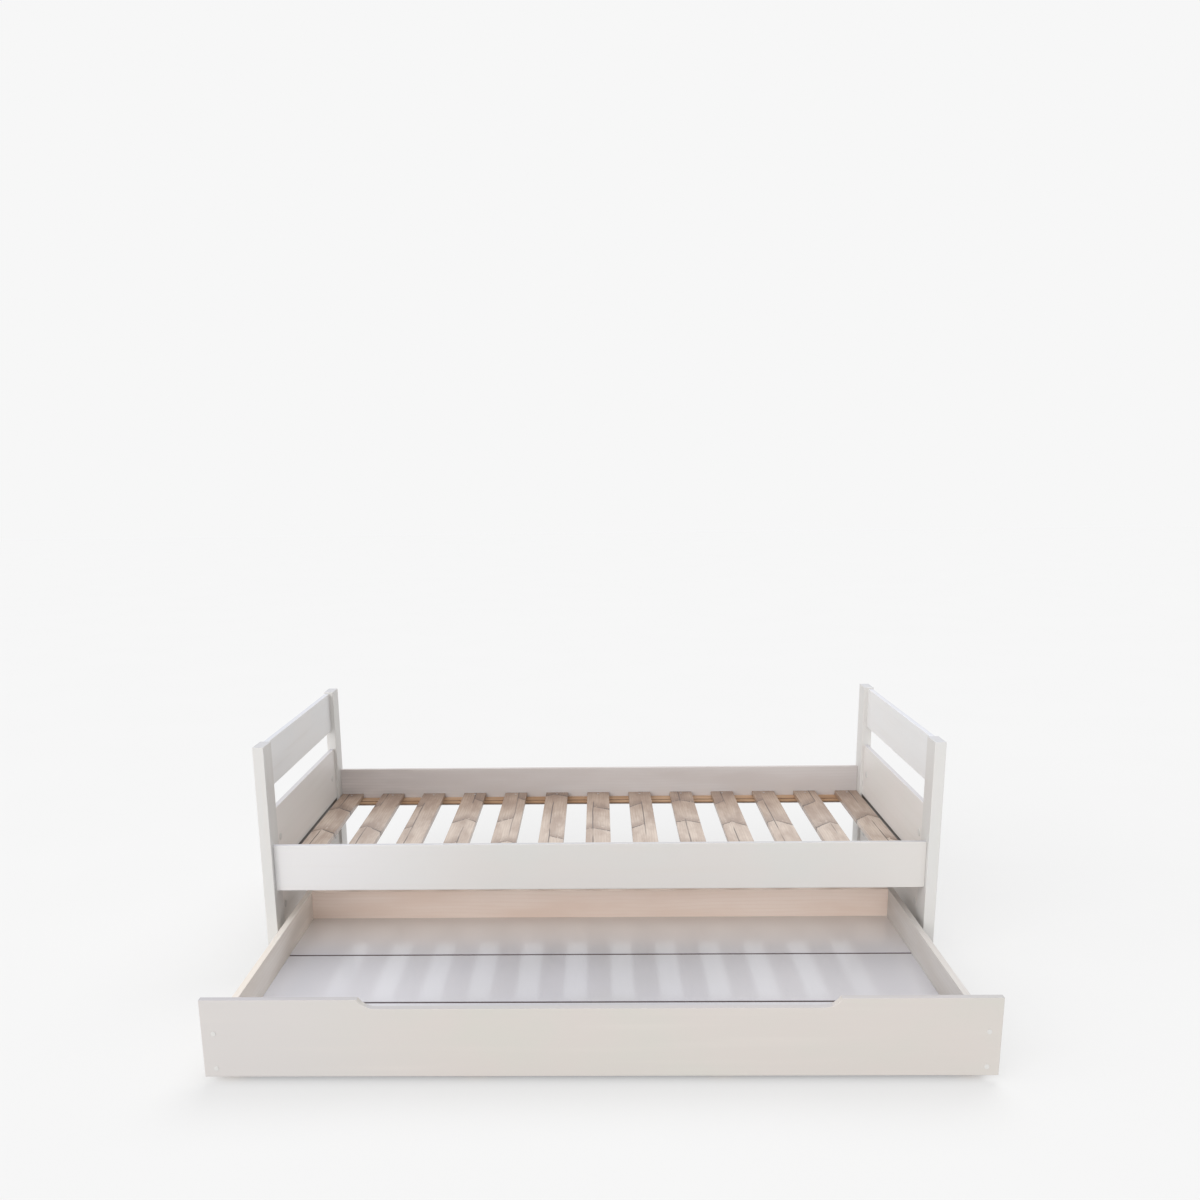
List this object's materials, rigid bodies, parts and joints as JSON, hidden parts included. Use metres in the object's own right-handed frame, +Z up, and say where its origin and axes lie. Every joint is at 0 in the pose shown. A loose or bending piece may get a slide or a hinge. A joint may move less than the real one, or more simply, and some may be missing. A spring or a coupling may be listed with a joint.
{
  "type": "trundle bed",
  "caption": "Single wooden bed frame with panelled ends and a slatted base, over a low roll-out trundle on wheels with a long finger cut-out in its front board.",
  "frame": {"origin": "on the floor, at the middle of the whole footprint with the trundle standing 0.70 m out", "axes": "+X along the bed's length, +Y towards the back (the trundle rolls out towards -Y), +Z up"},
  "size_m": [1.96, 1.681, 0.67],
  "materials": {
    "painted_wood": "satin off-white paint",
    "whitewashed_pine": "thin whitewash over pine",
    "raw_pine": "sawn pine, no finish",
    "batten_pine": "planed pine, no finish",
    "base_laminate": "pale grey-white melamine face",
    "bearer_pine": "planed pine, no finish",
    "beech_dowel": "plain beech",
    "white_plastic": "moulded, matt",
    "wheel_plastic": "moulded, matt dark grey",
    "brass_insert": "plain brass",
    "zinc_steel": "bright zinc plate"
  },
  "bodies": {
    "bed_frame": {"batten_screws": "zinc_steel", "cam_bolts": "zinc_steel", "cam_covers": "white_plastic", "cam_locks": "zinc_steel", "foot_glides": "white_plastic", "front_left_post": "painted_wood", "front_right_post": "painted_wood", "front_side_rail": "painted_wood", "front_slat_batten": "batten_pine", "left_lower_panel": "painted_wood", "left_top_board": "painted_wood", "rail_bolts": "zinc_steel", "rail_inserts": "brass_insert", "rear_left_post": "painted_wood", "rear_right_post": "painted_wood", "rear_side_rail": "whitewashed_pine", "rear_slat_batten": "batten_pine", "right_lower_panel": "painted_wood", "right_top_board": "painted_wood", "slat_01": "raw_pine", "slat_02": "raw_pine", "slat_03": "raw_pine", "slat_04": "raw_pine", "slat_05": "raw_pine", "slat_06": "raw_pine", "slat_07": "raw_pine", "slat_08": "raw_pine", "slat_09": "raw_pine", "slat_10": "raw_pine", "slat_11": "raw_pine", "slat_12": "raw_pine", "slat_13": "raw_pine", "slat_screws": "zinc_steel", "top_board_dowels": "beech_dowel"},
    "trundle": {"trundle_front_board": "painted_wood", "front_board_screws": "zinc_steel", "front_screw_caps": "white_plastic", "trundle_left_side": "whitewashed_pine", "trundle_right_side": "whitewashed_pine", "trundle_side_screws": "zinc_steel", "trundle_back_board": "whitewashed_pine", "front_base_panel": "base_laminate", "middle_base_panel": "base_laminate", "rear_base_panel": "base_laminate", "left_end_base_bearer": "bearer_pine", "left_inner_base_bearer": "bearer_pine", "right_inner_base_bearer": "bearer_pine", "right_end_base_bearer": "bearer_pine", "base_screws": "zinc_steel", "wheel_forks": "zinc_steel", "wheel_axles": "zinc_steel", "fork_screws": "zinc_steel"},
    "front_left_wheel_body": {"front_left_wheel": "wheel_plastic"},
    "front_middle_wheel_body": {"front_middle_wheel": "wheel_plastic"},
    "front_right_wheel_body": {"front_right_wheel": "wheel_plastic"},
    "rear_left_wheel_body": {"rear_left_wheel": "wheel_plastic"},
    "rear_middle_wheel_body": {"rear_middle_wheel": "wheel_plastic"},
    "rear_right_wheel_body": {"rear_right_wheel": "wheel_plastic"}
  },
  "joints": [
    {"name": "trundle_slide", "type": "slide", "parent": "bed_frame", "child": "trundle", "axis": [0, -1, 0], "range_m": [-0.7, 0.3]},
    {"name": "front_left_wheel_spin", "type": "hinge", "parent": "trundle", "child": "front_left_wheel_body", "pos_m": [-0.83, -0.7215, 0.019], "axis": [1, 0, 0], "continuous": true},
    {"name": "front_middle_wheel_spin", "type": "hinge", "parent": "trundle", "child": "front_middle_wheel_body", "pos_m": [0, -0.7215, 0.019], "axis": [1, 0, 0], "continuous": true},
    {"name": "front_right_wheel_spin", "type": "hinge", "parent": "trundle", "child": "front_right_wheel_body", "pos_m": [0.83, -0.7215, 0.019], "axis": [1, 0, 0], "continuous": true},
    {"name": "rear_left_wheel_spin", "type": "hinge", "parent": "trundle", "child": "rear_left_wheel_body", "pos_m": [-0.83, 0.0375, 0.019], "axis": [1, 0, 0], "continuous": true},
    {"name": "rear_middle_wheel_spin", "type": "hinge", "parent": "trundle", "child": "rear_middle_wheel_body", "pos_m": [0, 0.0375, 0.019], "axis": [1, 0, 0], "continuous": true},
    {"name": "rear_right_wheel_spin", "type": "hinge", "parent": "trundle", "child": "rear_right_wheel_body", "pos_m": [0.83, 0.0375, 0.019], "axis": [1, 0, 0], "continuous": true}
  ],
  "couplings": [
    {"joint": "front_left_wheel_spin", "follows": "trundle_slide", "rad_per_m": 52.632},
    {"joint": "front_middle_wheel_spin", "follows": "trundle_slide", "rad_per_m": 52.632},
    {"joint": "front_right_wheel_spin", "follows": "trundle_slide", "rad_per_m": 52.632},
    {"joint": "rear_left_wheel_spin", "follows": "trundle_slide", "rad_per_m": 52.632},
    {"joint": "rear_middle_wheel_spin", "follows": "trundle_slide", "rad_per_m": 52.632},
    {"joint": "rear_right_wheel_spin", "follows": "trundle_slide", "rad_per_m": 52.632}
  ]
}
